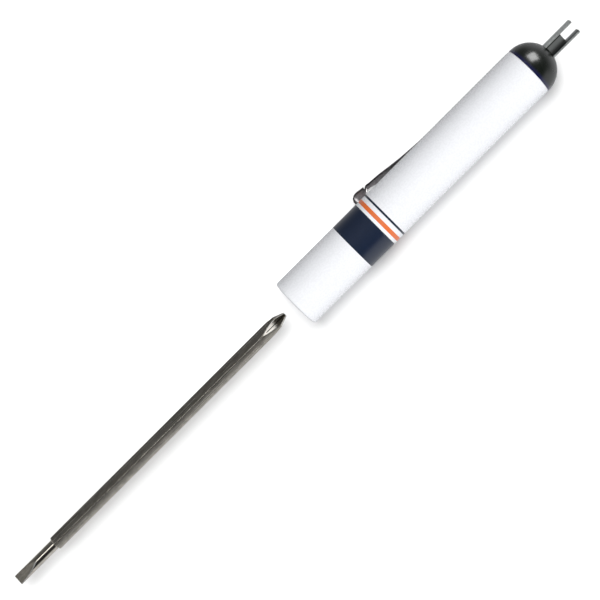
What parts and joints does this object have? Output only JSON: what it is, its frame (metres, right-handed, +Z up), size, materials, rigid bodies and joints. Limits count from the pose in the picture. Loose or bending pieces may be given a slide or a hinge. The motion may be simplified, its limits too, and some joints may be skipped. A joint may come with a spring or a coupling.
{
  "type": "pocket screwdriver",
  "caption": "Pocket screwdriver: round plastic handle with domed cap, forked valve core tool, sprung pocket clip and a reversible hexagonal blade drawn out of its socket.",
  "frame": {"origin": "under the middle of the box round the whole tool, on the floor that the handle lies on", "axes": "+X along the handle from the blade towards the domed cap, +Y towards the pocket clip, +Z up from the floor"},
  "size_m": [0.1816, 0.0148, 0.0127],
  "materials": {
    "white_plastic": "glossy moulded white plastic",
    "natural_plastic": "unpainted matt moulding",
    "black_plastic": "glossy moulded black plastic",
    "fork_steel": "bent steel sheet, plated",
    "spring_steel": "darkened spring steel strip",
    "blade_steel": "drawn hexagonal bar with ground ends, plated"
  },
  "bodies": {
    "handle": {"barrel": "white_plastic", "blade_socket": "natural_plastic", "end_cap": "black_plastic", "valve_core_tool": "fork_steel"},
    "blade": {"driver_blade": "blade_steel"},
    "clip": {"pocket_clip": "spring_steel"}
  },
  "joints": [
    {"name": "blade_slide", "type": "slide", "parent": "handle", "child": "blade", "axis": [1, 0, 0], "range_m": [0, 0.0482]},
    {"name": "clip_flex", "type": "hinge", "parent": "handle", "child": "clip", "pos_m": [0.07587, 0.00451, 0.00262], "axis": [0, -0.5592, -0.829], "range_deg": [0, 3], "stiffness_Nm_per_rad": 2}
  ]
}
